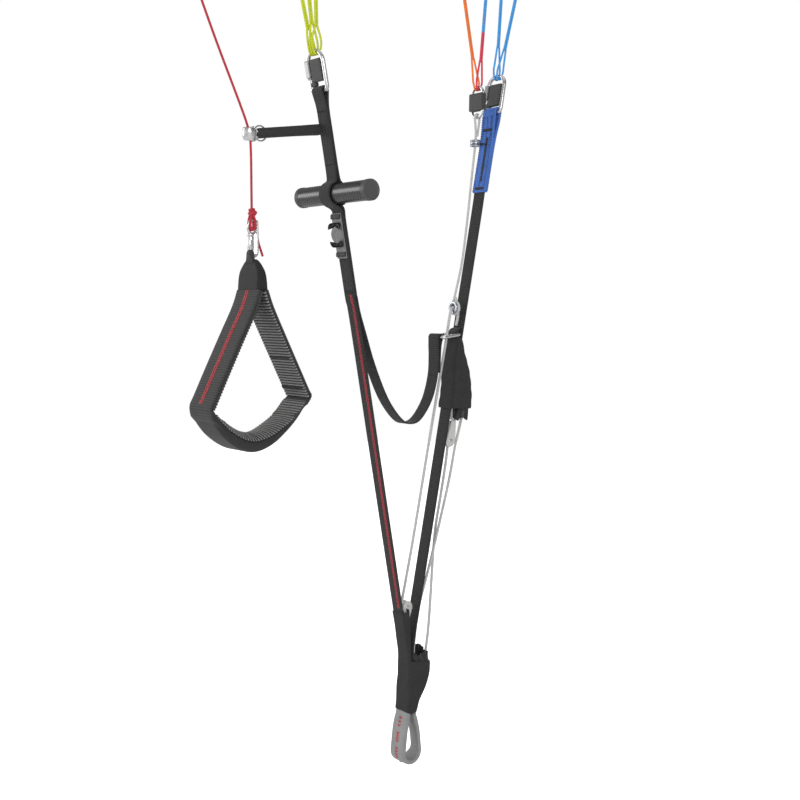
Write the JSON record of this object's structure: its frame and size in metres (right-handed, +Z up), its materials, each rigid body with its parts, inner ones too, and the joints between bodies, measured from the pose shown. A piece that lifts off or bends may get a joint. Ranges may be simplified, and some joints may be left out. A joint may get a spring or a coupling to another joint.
{
  "type": "paraglider riser set",
  "caption": "Paraglider risers for one side: carabiner loop, two webbing risers, pulleys and speed cords, brake handle, roll handle and line ends on quick links.",
  "frame": {"origin": "inner bottom of the main loop, where the carabiner bears", "axes": "+Z up along the hang to the canopy, +X from the rear riser to the front riser, Y across the webbing"},
  "size_m": [0.3254, 0.084, 0.6472],
  "materials": {
    "webbing": "woven matte",
    "loop_webbing": "woven matte",
    "neoprene": "smooth matte",
    "blue_webbing": "woven matte",
    "steel": "polished",
    "aluminium": "anodised, polished",
    "black_rubber": "matte",
    "grey_plastic": "satin",
    "keeper_plastic": "matte",
    "speed_cord": "braided",
    "green_line": "braided",
    "blue_line": "braided",
    "orange_line": "braided",
    "crimson_line": "braided",
    "brake_line": "braided",
    "carbon": "glossy carbon weave",
    "cap_plastic": "satin",
    "grip": "padded, matte"
  },
  "bodies": {
    "riser": {"main_loop": "loop_webbing", "rear_riser": "webbing", "front_riser": "webbing", "front_sleeve": "blue_webbing", "lower_cover": "neoprene", "upper_cover": "neoprene", "link_strap": "webbing", "link_ring": "steel", "ring_tab": "webbing", "floating_block": "grey_plastic", "upper_block": "grey_plastic", "lower_block": "grey_plastic", "guide_block": "grey_plastic", "upper_speed_cord": "speed_cord", "main_speed_cord": "speed_cord", "long_speed_cord": "speed_cord", "speed_ring": "aluminium", "guide_ring": "aluminium", "brake_guide_ring": "aluminium", "guide_ring_tab": "webbing", "brake_strap": "webbing", "brake_link_ring": "steel", "brake_ring_clamp": "steel", "brake_line_upper": "brake_line", "keeper_strip": "keeper_plastic", "keeper_disc": "keeper_plastic"},
    "brake_line": {"brake_line_lower": "brake_line", "brake_line_loop": "brake_line", "swivel_bow": "steel"},
    "swivel": {"swivel_body": "steel", "swivel_hook": "steel"},
    "brake_handle": {"handle_cap": "neoprene", "handle_eye": "webbing", "handle_leg_rear": "webbing", "handle_leg_front": "webbing", "handle_grip": "grip"},
    "roll_handle": {"roll_tube": "carbon", "roll_cap_near": "cap_plastic", "roll_cap_far": "cap_plastic"},
    "rear_lines": {"rear_maillon": "steel", "rear_maillon_nut": "steel", "rear_maillon_keeper": "black_rubber", "rear_line_inner": "green_line", "rear_line_middle": "green_line", "rear_line_outer": "green_line"},
    "front_lines": {"front_maillon": "steel", "front_maillon_nut": "steel", "front_maillon_keeper": "black_rubber", "front_line_inner": "blue_line", "front_line_outer": "blue_line"},
    "outer_lines": {"outer_maillon": "steel", "outer_maillon_nut": "steel", "outer_maillon_keeper": "black_rubber", "outer_line_left": "orange_line", "outer_line_right": "crimson_line"},
    "floating_wheel": {"floating_wheel": "grey_plastic"},
    "upper_wheel": {"upper_wheel": "grey_plastic"},
    "lower_wheel": {"lower_wheel": "grey_plastic"},
    "guide_wheel": {"guide_wheel": "grey_plastic"}
  },
  "joints": [
    {"name": "brake_line_swing", "type": "hinge", "parent": "riser", "child": "brake_line", "pos_m": [-0.1412, 0, 0.4745], "axis": [0, 1, 0], "range_deg": [-5, 20]},
    {"name": "swivel_turn", "type": "hinge", "parent": "brake_line", "child": "swivel", "pos_m": [-0.1412, 0, 0.4105], "axis": [0, 0, 1], "continuous": true},
    {"name": "handle_swing", "type": "hinge", "parent": "swivel", "child": "brake_handle", "pos_m": [-0.1412, 0, 0.3975], "axis": [0, 1, 0], "range_deg": [-15, 15]},
    {"name": "roll_turn", "type": "hinge", "parent": "riser", "child": "roll_handle", "pos_m": [-0.07, 0, 0.4425], "axis": [0, 1, 0], "continuous": true},
    {"name": "rear_lines_swing", "type": "hinge", "parent": "riser", "child": "rear_lines", "pos_m": [-0.08163, 0, 0.515], "axis": [0, 1, 0], "range_deg": [-12, 12]},
    {"name": "front_lines_swing", "type": "hinge", "parent": "riser", "child": "front_lines", "pos_m": [0.0938, 0, 0.519], "axis": [0, 1, 0], "range_deg": [-2, 12]},
    {"name": "outer_lines_swing", "type": "hinge", "parent": "riser", "child": "outer_lines", "pos_m": [0.0764, 0, 0.5133], "axis": [0, 1, 0], "range_deg": [-12, 2]},
    {"name": "floating_wheel_turn", "type": "hinge", "parent": "riser", "child": "floating_wheel", "pos_m": [0.0455, 0, 0.2512], "axis": [0, 1, 0], "continuous": true},
    {"name": "upper_wheel_turn", "type": "hinge", "parent": "riser", "child": "upper_wheel", "pos_m": [0.0566, 0, 0.2955], "axis": [0, 1, 0], "continuous": true},
    {"name": "lower_wheel_turn", "type": "hinge", "parent": "riser", "child": "lower_wheel", "pos_m": [0.0125, 0, 0.0632], "axis": [0, 1, 0], "continuous": true},
    {"name": "guide_wheel_turn", "type": "hinge", "parent": "riser", "child": "guide_wheel", "pos_m": [-0.0006, 0, 0.1215], "axis": [0, 1, 0], "continuous": true}
  ]
}
